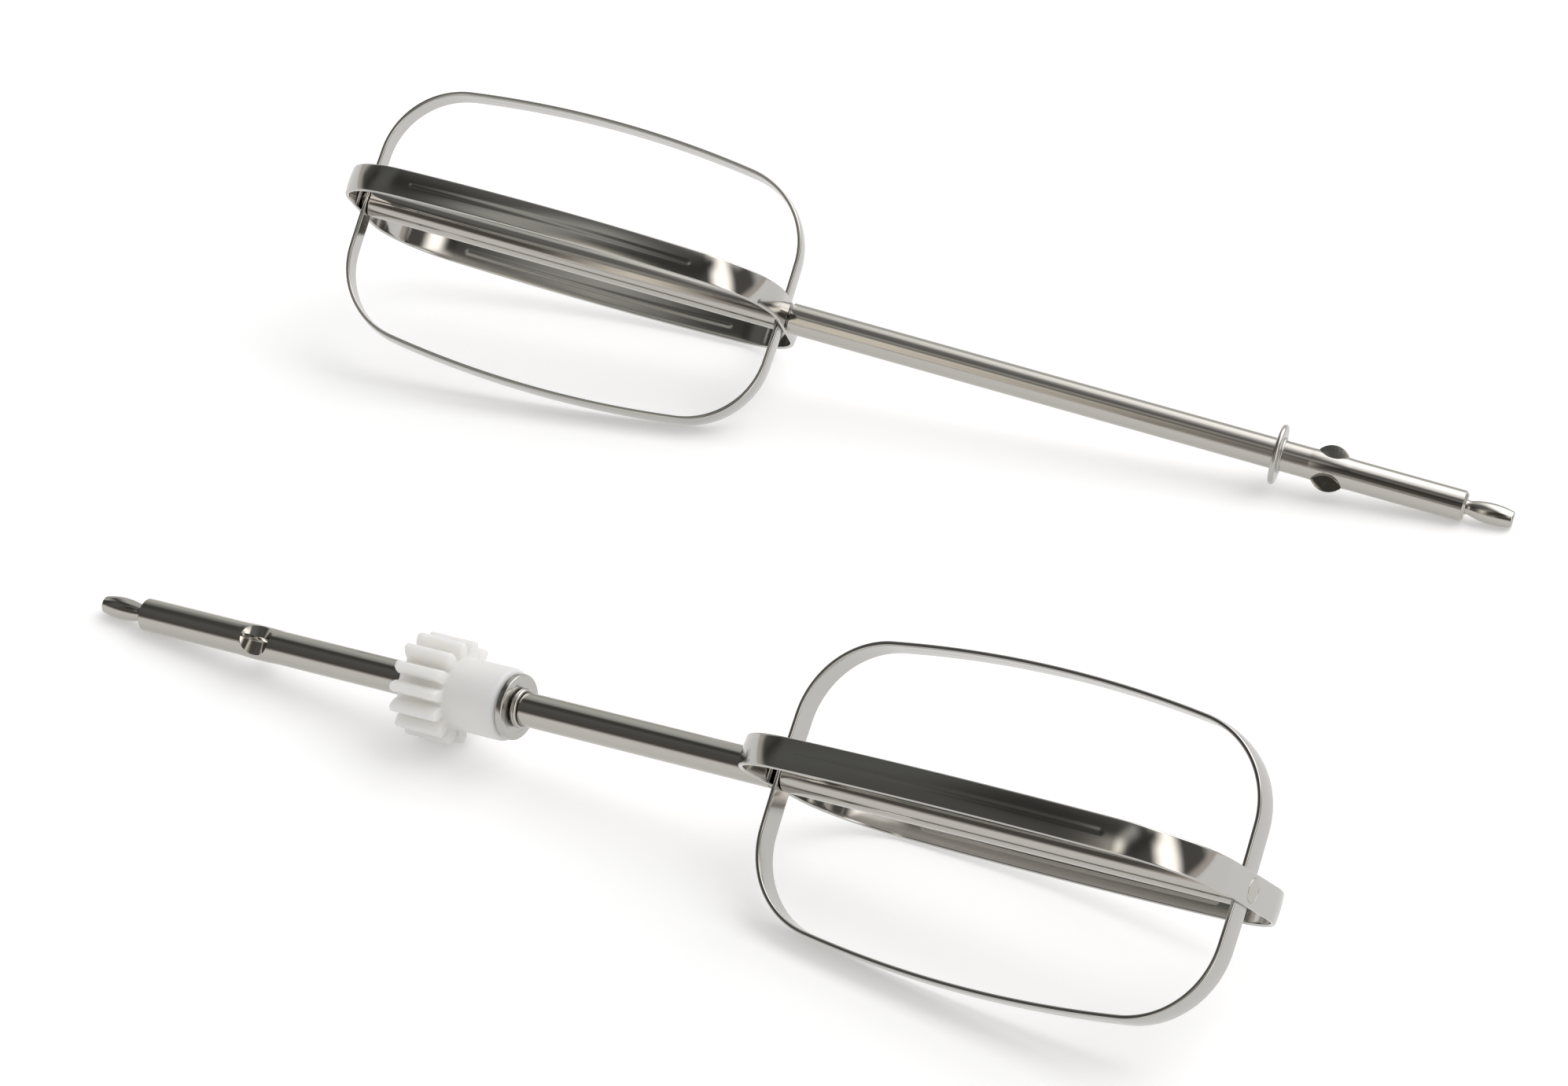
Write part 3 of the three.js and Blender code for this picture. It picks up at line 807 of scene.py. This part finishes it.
def toothed_body(pinion, start, end):
    """The toothed stretch as one solid: one tooth's outline, spun into a ring and extruded."""
    bm = bmesh.new()
    flank = tooth_flank(pinion)
    both = [(r, -a) for r, a in flank] + [(r, a) for r, a in reversed(flank)]
    both.append((both[0][0], math.tau / pinion.teeth + both[0][1]))
    points = [(start, r * math.cos(a), r * math.sin(a)) for r, a in both]
    tooth = outline(bm, points, closed=False)
    spin_about_bar(bm, tooth, math.tau, pinion.teeth, use_duplicate=True)
    bmesh.ops.remove_doubles(bm, verts=bm.verts, dist=0.001 * MM)
    face = bmesh.ops.contextual_create(bm, geom=bm.edges)["faces"]
    made = bmesh.ops.extrude_face_region(bm, geom=face, use_keep_orig=True)
    moved = [v for v in made["geom"] if isinstance(v, bmesh.types.BMVert)]
    bmesh.ops.translate(bm, vec=(end - start, 0, 0), verts=moved)
    close_up(bm)
    tip = 0.93 * pinion.radius
    rims = sharp_edges(bm, degrees=30, where=lambda co: math.hypot(co.y, co.z) > tip)
    round_off(bm, rims, pinion.rounding)
    turn_about_bar(bm, -pinion.tooth_turn)
    return bm


def drive_pinion(bar, cage, pinion):
    """Teeth and hub run together into one moulded body, then bored."""
    tip = bar.beater_length - pinion.distance
    root = tip - pinion.face_width
    end = root - pinion.hub_length
    rounding, inside = 1.5 * pinion.rounding, root + 0.5 * pinion.face_width
    hub = [
        (end, 0),
        *arc((end + rounding, pinion.hub_radius - rounding), rounding, 180, 90, 6),
        (inside, pinion.hub_radius),
        (inside, 0),
    ]
    made = mesh_object("scratch", join(toothed_body(pinion, root, tip), lathe(hub)))
    remesh = made.modifiers.new("Run together", "REMESH")
    remesh.mode = "VOXEL"
    remesh.voxel_size = pinion.voxel
    fillets = made.modifiers.new("Fillets", "SMOOTH")
    fillets.factor, fillets.iterations = 0.5, 20
    bm = evaluated(made)
    bm = cut(bm, rod(bar.radius + 2 * BORE_GAP, end - MM, tip + MM))
    tall, wide = bar.radius + bar.key_height + cage.seat_gap, bar.key_width / 2 + cage.seat_gap
    slot_end = tip - bar.key_inset + cage.seat_gap
    return cut(bm, block((end - MM, -tall, -wide), (slot_end, tall, wide)))


class BEATERS_OT_pinion(bpy.types.Operator):
    """Mould the pinion of the geared beater"""

    bl_idname = "beaters.pinion"
    bl_label = "Pinion"

    def execute(self, context):
        bar, cage, _, pinion, finishes, _ = settings()
        bm = drive_pinion(bar, cage, pinion)
        piece(bm, "drive_pinion", "geared", moulded_nylon(finishes), 60)
        return {"FINISHED"}


# ---- Nodes ----


def feed(tree, node, inputs):
    """Gives each input of a node its value, or links another node's socket to it."""
    for name, value in inputs.items():
        if isinstance(value, bpy.types.NodeSocket):
            tree.links.new(value, node.inputs[name])
        else:
            node.inputs[name].default_value = value


def add_node(tree, kind, inputs=None, **options):
    """The outputs of a new node, once its options and inputs are set."""
    made = tree.nodes.new("ShaderNode" + kind)
    for name, value in options.items():
        setattr(made, name, value)
    feed(tree, made, inputs or {})
    return made.outputs


def attribute(tree, name):
    """The outputs of a mesh attribute."""
    return add_node(tree, "Attribute", attribute_name=name)


def maths(tree, operation, *values):
    """One step of arithmetic on sockets or numbers."""
    return add_node(tree, "Math", dict(enumerate(values)), operation=operation)["Value"]


def noise(tree, place, scale, detail, roughness=0.5):
    """Noise over a place."""
    inputs = {"Vector": place, "Scale": scale, "Detail": detail, "Roughness": roughness}
    return add_node(tree, "TexNoise", inputs)["Fac"]


def spread(tree, value, start, end, low=0, high=1, **options):
    """A value mapped so that it runs from low at start to high at end."""
    inputs = {"Value": value, "From Min": start, "From Max": end, "To Min": low, "To Max": high}
    return add_node(tree, "MapRange", inputs, **options)["Result"]


def ramp(tree, value, start, end):
    """0 before start and 1 after end, smooth between them."""
    return spread(tree, value, start, end, interpolation_type="SMOOTHSTEP")


def within(tree, value, half, softness):
    """1 inside plus or minus half, with a soft edge."""
    return ramp(tree, maths(tree, "ABSOLUTE", value), half + softness, half - softness)


def blend(tree, mask, first, second):
    """The first colour where the mask is 0 and the second where it is 1."""
    inputs = {"Factor": mask, "A": first, "B": second}
    return add_node(tree, "Mix", inputs, data_type="RGBA")["Result"]


def shaded(tree, mask, base, darkest):
    """A colour, darkened to a share of itself where the mask is 0."""
    return blend(tree, mask, (*[darkest * c for c in base], 1), (*base, 1))


def bump(tree, height, distance, over=None):
    """A normal bent by a height, laid over another bump where there is one."""
    inputs = {"Height": height, "Strength": 1, "Distance": distance}
    if over is not None:
        inputs["Normal"] = over
    return add_node(tree, "Bump", inputs)["Normal"]


# ---- Finishes ----


def new_material(name):
    """A material, its node tree and its Principled BSDF, both None where it was made before."""
    found = bpy.data.materials.get(name)
    if found:
        return found, None, None
    made = bpy.data.materials.new(name)
    made.use_nodes = True
    return made, made.node_tree, made.node_tree.nodes["Principled BSDF"]


def streak_group():
    """Fine lines along X and a soft cloudiness, from the piece's own coordinates."""
    group = bpy.data.node_groups.get("drawn_streaks")
    if group:
        return group
    group = bpy.data.node_groups.new("drawn_streaks", "ShaderNodeTree")
    for name, way, kind in (
        ("Place", "INPUT", "Vector"),
        ("Across", "INPUT", "Float"),
        ("Along", "INPUT", "Float"),
        ("Streaks", "OUTPUT", "Float"),
        ("Clouds", "OUTPUT", "Float"),
    ):
        group.interface.new_socket(name, in_out=way, socket_type="NodeSocket" + kind)
    into, out = group.nodes.new("NodeGroupInput").outputs, group.nodes.new("NodeGroupOutput")
    scales = {"X": into["Along"], "Y": into["Across"], "Z": into["Across"]}
    scale = add_node(group, "CombineXYZ", scales)["Vector"]
    stretched = add_node(group, "VectorMath", {0: into["Place"], 1: scale}, operation="MULTIPLY")
    lines = noise(group, stretched["Vector"], scale=1, detail=4, roughness=0.6)
    clouds = noise(group, into["Place"], scale=120, detail=3)
    feed(group, out, {"Streaks": lines, "Clouds": clouds})
    return group


def with_dent_shade(tree, base, colour):
    """A colour, darkened into painted shade on the faces marked round the fins, but for small specks
    that keep the plain colour.
    """
    grain = noise(tree, attribute(tree, "place")["Vector"], scale=2500, detail=3)
    marked = attribute(tree, "pressed")["Fac"]
    mask = maths(tree, "MULTIPLY", marked, spread(tree, grain, start=0.66, end=0.6))
    return blend(tree, mask, base, (*colour, 1))


def metal(name, base, roughness, across, along, line_height, cloud_height, pressed=None):
    """A plated steel whose streaks run along the piece; pressed is the colour of the painted shade
    on the faces marked round the fins.
    """
    made, tree, shader = new_material(name)
    if tree is None:
        return made
    inputs = {"Place": attribute(tree, "place")["Vector"], "Across": across, "Along": along}
    streaks = add_node(tree, "Group", inputs, node_tree=streak_group())
    lines, clouds = streaks["Streaks"], streaks["Clouds"]
    surface = shaded(tree, lines, base, darkest=0.965)
    look = {
        # Where pressed is given: painted shade on the marked dents and blades.
        "Base Color": with_dent_shade(tree, surface, pressed) if pressed else surface,
        "Metallic": 1,
        "Roughness": spread(tree, clouds, 0.3, 0.7, 0.8 * roughness, 1.25 * roughness),
        "Normal": bump(tree, clouds, cloud_height, bump(tree, lines, line_height)),
    }
    feed(tree, shader, look)
    return made


def plated_bar(finishes):
    """Nickel plate on ground round bar, with faint lines along it, and painted shade on the dents
    and blades beside the fins.
    """
    return metal(
        "plated_bar",
        finishes.bar_colour,
        finishes.bar_roughness,
        across=2600,
        along=25,
        line_height=0.0006 * MM,
        cloud_height=0.004 * MM,
        pressed=finishes.dent_shade_colour,
    )


def bright_strip(finishes):
    """Bright rolled strip, with a faint rolling grain."""
    return metal(
        "bright_strip",
        finishes.strip_colour,
        finishes.strip_roughness,
        across=2200,
        along=40,
        line_height=0.0006 * MM,
        cloud_height=0.004 * MM,
    )


def plated_fitting(finishes):
    """Plate on stamped and coiled fittings, a little duller."""
    return metal(
        "plated_fitting",
        finishes.fitting_colour,
        finishes.fitting_roughness,
        across=900,
        along=900,
        line_height=0.001 * MM,
        cloud_height=0.006 * MM,
    )


def moulded_nylon(finishes):
    """Unpigmented nylon, milky and a little translucent."""
    made, tree, shader = new_material("moulded_nylon")
    if tree is None:
        return made
    place = attribute(tree, "place")["Vector"]
    clouds = noise(tree, place, scale=220, detail=3)
    skin = noise(tree, place, scale=2500, detail=2)
    look = {
        "Base Color": shaded(tree, clouds, finishes.nylon_colour, darkest=0.96),
        "Roughness": finishes.nylon_roughness,
        "Subsurface Weight": 1,
        "Subsurface Radius": (1, 0.9, 0.8),
        "Subsurface Scale": 4 * MM,
        "IOR": 1.53,
        "Normal": bump(tree, skin, 0.004 * MM),
    }
    feed(tree, shader, look)
    return made


# ---- Studio ----


def mix_shader(tree, mask, first, second):
    """The first shader where the mask is 0 and the second where it is 1."""
    return add_node(tree, "MixShader", {0: mask, 1: first, 2: second})["Shader"]


def white_floor():
    """A white floor that keeps the pair's soft shadows, and looks more even in the metal."""
    made = bpy.data.materials.new("studio_floor")
    made.use_nodes = True
    tree = made.node_tree
    tree.nodes.clear()
    ray = add_node(tree, "LightPath")
    # For the camera it is lifted, and far from the lamps more so, so that it stays white.
    place = add_node(tree, "TexCoord")["Object"]
    reach = add_node(tree, "VectorMath", {0: place}, operation="LENGTH")["Value"]
    amount = spread(tree, reach, start=0.2, end=1.2, low=0.2, high=0.42)
    lift = maths(tree, "MULTIPLY", ray["Is Camera Ray"], amount)
    paper = add_node(tree, "BsdfDiffuse", {"Color": (0.96, 0.96, 0.96, 1)})["BSDF"]
    glow = add_node(tree, "Emission", {"Strength": lift})["Emission"]
    lifted = add_node(tree, "AddShader", {0: paper, 1: glow})["Shader"]
    even = add_node(tree, "Emission", {"Color": (1, 0.985, 0.965, 1), "Strength": 0.86})
    in_metal = maths(tree, "MULTIPLY", ray["Is Glossy Ray"], 0.65)
    seen = mix_shader(tree, in_metal, lifted, even["Emission"])
    add_node(tree, "OutputMaterial", {"Surface": seen})
    return made


def studio_floor(studio):
    """The round floor that the pair lies on."""
    bm = bmesh.new()
    bmesh.ops.create_circle(bm, cap_ends=True, segments=64, radius=studio.floor_radius)
    mesh_object("studio_floor", bm, white_floor())


def heading(azimuth, elevation):
    """Unit vector toward an azimuth, from looking along +Y, and an elevation."""
    flat = math.cos(elevation)
    return Vector((math.sin(azimuth) * flat, -math.cos(azimuth) * flat, math.sin(elevation)))


def facing(azimuth, elevation, roll):
    """Side, top and front directions of a panel that faces the pair, angles in degrees."""
    azimuth, elevation = math.radians(azimuth), math.radians(elevation)
    ahead = heading(azimuth, elevation)
    level = Vector((math.cos(azimuth), math.sin(azimuth), 0))
    side = Matrix.Rotation(-math.radians(roll), 3, ahead) @ level
    return side, side.cross(ahead), ahead


class Room:
    """What the metal reflects, painted over the directions of its rays."""

    def __init__(self, tree, base):
        self.tree = tree
        self.direction = add_node(tree, "TexCoord")["Generated"]
        self.colour = (*base, 1)

    def along(self, vector):
        """How far the ray runs along a vector."""
        inputs = {0: self.direction, 1: vector}
        return add_node(self.tree, "VectorMath", inputs, operation="DOT_PRODUCT")["Value"]

    def paint(self, mask, colour):
        """Covers what a mask takes in with a colour."""
        self.colour = blend(self.tree, mask, self.colour, (*colour, 1))

    def panel(self, place, half_sizes, softness, colour):
        """Paints a soft-edged rectangle.

        Its place is azimuth, elevation and roll in degrees; its sizes are tangents of angles.
        """
        tree = self.tree
        *across, ahead = facing(*place)
        forward = maths(tree, "MAXIMUM", self.along(ahead), 0.001)
        mask = ramp(tree, forward, 0.05, 0.15)
        for vector, half in zip(across, half_sizes):
            off = maths(tree, "DIVIDE", self.along(vector), forward)
            mask = maths(tree, "MULTIPLY", mask, within(tree, off, half, softness))
        self.paint(mask, colour)


def paint_room(tree):
    """A dim room with a light wall behind, a window on the right and a few dark screens."""
    room = Room(tree, (0.1, 0.094, 0.088))
    back, up = room.along((0, 1, 0)), room.along((0, 0, 1))
    room.paint(ramp(tree, up, 0.81, 1), (0.188, 0.186, 0.184))  # ceiling
    room.paint(ramp(tree, back, 0.1, 0.34), (0.61, 0.615, 0.59))  # wall behind
    room.paint(ramp(tree, up, 0.18, 0.04), (0.55, 0.505, 0.465))  # low down, all round
    # On the left: a grey wall, and what stands dark before it.
    room.panel((-66, 40, 0), (0.2, 0.4), 0.25, (0.125, 0.127, 0.12))
    room.panel((-42, 49, 0), (0.15, 0.15), 0.12, (0.045, 0.045, 0.042))
    room.panel((-84, 20, 0), (0.1, 0.2), 0.12, (0.05, 0.05, 0.047))
    # The window, and a dark screen across from it.
    room.panel((55.8, 27.1, 2.5), (0.21, 1), 0.14, (2.1, 2, 1.88))
    room.panel((-114.7, 42.2, 42.7), (0.12, 0.55), 0.14, (0.06, 0.062, 0.057))
    # High in front: a pale patch, a dark screen beside it, and a glow under the front softbox.
    room.panel((-7.2, 51, -54.9), (0.245, 0.13), 0.098, (0.46, 0.45, 0.42))
    room.panel((21.9, 51, 59.9), (0.15, 0.35), 0.16, (0.05, 0.047, 0.043))
    room.panel((6, 11, 0), (0.06, 0.13), 0.08, (0.42, 0.4, 0.37))
    return room.colour


def studio_world(studio):
    """White where the camera sees it, even light, and a room that the metal reflects."""
    world = bpy.data.worlds.new("studio")
    bpy.context.scene.world = world
    world.use_nodes = True
    tree = world.node_tree
    tree.nodes.clear()
    paper, white = paint_room(tree), (1, 1, 1, 1)
    lit, room, backdrop = [
        add_node(tree, "Background", {"Color": colour, "Strength": strength})["Background"]
        for colour, strength in ((white, studio.ambient), (paper, 1), (white, 1))
    ]
    ray = add_node(tree, "LightPath")
    unseen = mix_shader(tree, ray["Is Glossy Ray"], lit, room)
    seen = mix_shader(tree, ray["Is Camera Ray"], unseen, backdrop)
    add_node(tree, "OutputWorld", {"Surface": seen})


def softbox(name, place, distance, half_sizes, softness, brightness, colour):
    """An area lamp that faces the pair and fades out at its edges.

    Its place is azimuth, elevation and roll in degrees. Half sizes and softness are shares of
    its distance, and its brightness is that of its face.
    """
    side, top, ahead = facing(*place)
    data = bpy.data.lights.new(name, "AREA")
    data.shape = "RECTANGLE"
    data.size, data.size_y = [2 * distance * (half + softness) for half in half_sizes]
    data.energy = brightness * math.pi * data.size * data.size_y
    data.color = colour
    data.use_nodes = True
    tree = data.node_tree
    on_face = add_node(tree, "NewGeometry")["Parametric"]
    split = add_node(tree, "SeparateXYZ", {"Vector": on_face})
    masks = []
    for axis, half in zip("XY", half_sizes):
        whole = 2 * (half + softness)
        off = maths(tree, "SUBTRACT", split[axis], 0.5)
        masks.append(within(tree, off, half / whole, softness / whole))
    feed(tree, tree.nodes["Emission"], {"Strength": maths(tree, "MULTIPLY", *masks)})
    made = add_object(name, data)
    turn = Matrix((side, top, ahead)).transposed().to_4x4()
    made.matrix_world = Matrix.Translation(distance * ahead) @ turn
    made.visible_camera = False


def studio_camera(studio):
    """The camera, aimed at a point on the floor."""
    data = bpy.data.cameras.new("studio_camera")
    data.lens = studio.lens
    data.sensor_width = 36
    data.sensor_fit = "HORIZONTAL"
    data.shift_x, data.shift_y = studio.shift
    data.clip_start, data.clip_end = 10 * MM, 20
    made = add_object("studio_camera", data)
    back = heading(studio.azimuth, studio.elevation)
    made.location = Vector(studio.target) + studio.distance * back
    upright = (-back).to_track_quat("-Z", "Y").to_matrix()
    made.rotation_euler = (upright @ Matrix.Rotation(studio.roll, 3, "Z")).to_euler()
    bpy.context.scene.camera = made


class BEATERS_OT_studio(bpy.types.Operator):
    """Set up the floor, the light and the camera"""

    bl_idname = "beaters.studio"
    bl_label = "Studio"

    def execute(self, context):
        studio = settings()[-1]
        studio_floor(studio)
        studio_world(studio)
        softbox(
            "back_box",
            place=(141.2, 52.4, 37.6),
            distance=studio.back_distance,
            half_sizes=(0.65, 0.47),
            softness=0.26,
            brightness=studio.back_brightness,
            colour=(1, 0.98, 0.98),
        )
        softbox(
            "front_box",
            place=(-5.6, 25.8, 3.4),
            distance=studio.front_distance,
            half_sizes=(0.083, 0.37),
            softness=0.105,
            brightness=studio.front_brightness,
            colour=(1, 0.94, 0.82),
        )
        studio_camera(studio)
        context.scene.view_settings.view_transform = "Standard"
        return {"FINISHED"}


# ---- Add-on ----


class BEATERS_PT_build(bpy.types.Panel):
    """Buttons that build the pair piece by piece"""

    bl_idname = "BEATERS_PT_build"
    bl_label = "Mixer Beaters"
    bl_space_type = "VIEW_3D"
    bl_region_type = "UI"
    bl_category = "Beaters"

    def draw(self, context):
        for operator in OPERATORS:
            self.layout.operator(operator.bl_idname)


OPERATORS = (
    BEATERS_OT_drive_shaft,
    BEATERS_OT_cage,
    BEATERS_OT_stop_collar,
    BEATERS_OT_pinion,
    BEATERS_OT_washer_and_ring,
    BEATERS_OT_studio,
)


def register():
    """Adds the classes and hangs the settings on the scene."""
    for item in (*SETTINGS.values(), *OPERATORS, BEATERS_PT_build):
        bpy.utils.register_class(item)
    for name, group in SETTINGS.items():
        setattr(bpy.types.Scene, name, PointerProperty(type=group))


def unregister():
    """Takes all of it away again."""
    for name in SETTINGS:
        delattr(bpy.types.Scene, name)
    for item in (BEATERS_PT_build, *reversed(OPERATORS), *reversed(SETTINGS.values())):
        bpy.utils.unregister_class(item)


def main():
    """Builds the pair and its studio."""
    register()
    for which in ("plain", "geared"):
        bpy.ops.beaters.drive_shaft(which=which)
        bpy.ops.beaters.cage(which=which)
    bpy.ops.beaters.stop_collar()
    bpy.ops.beaters.pinion()
    bpy.ops.beaters.washer_and_ring()
    bpy.ops.beaters.studio()


if __name__ == "__main__":
    main()
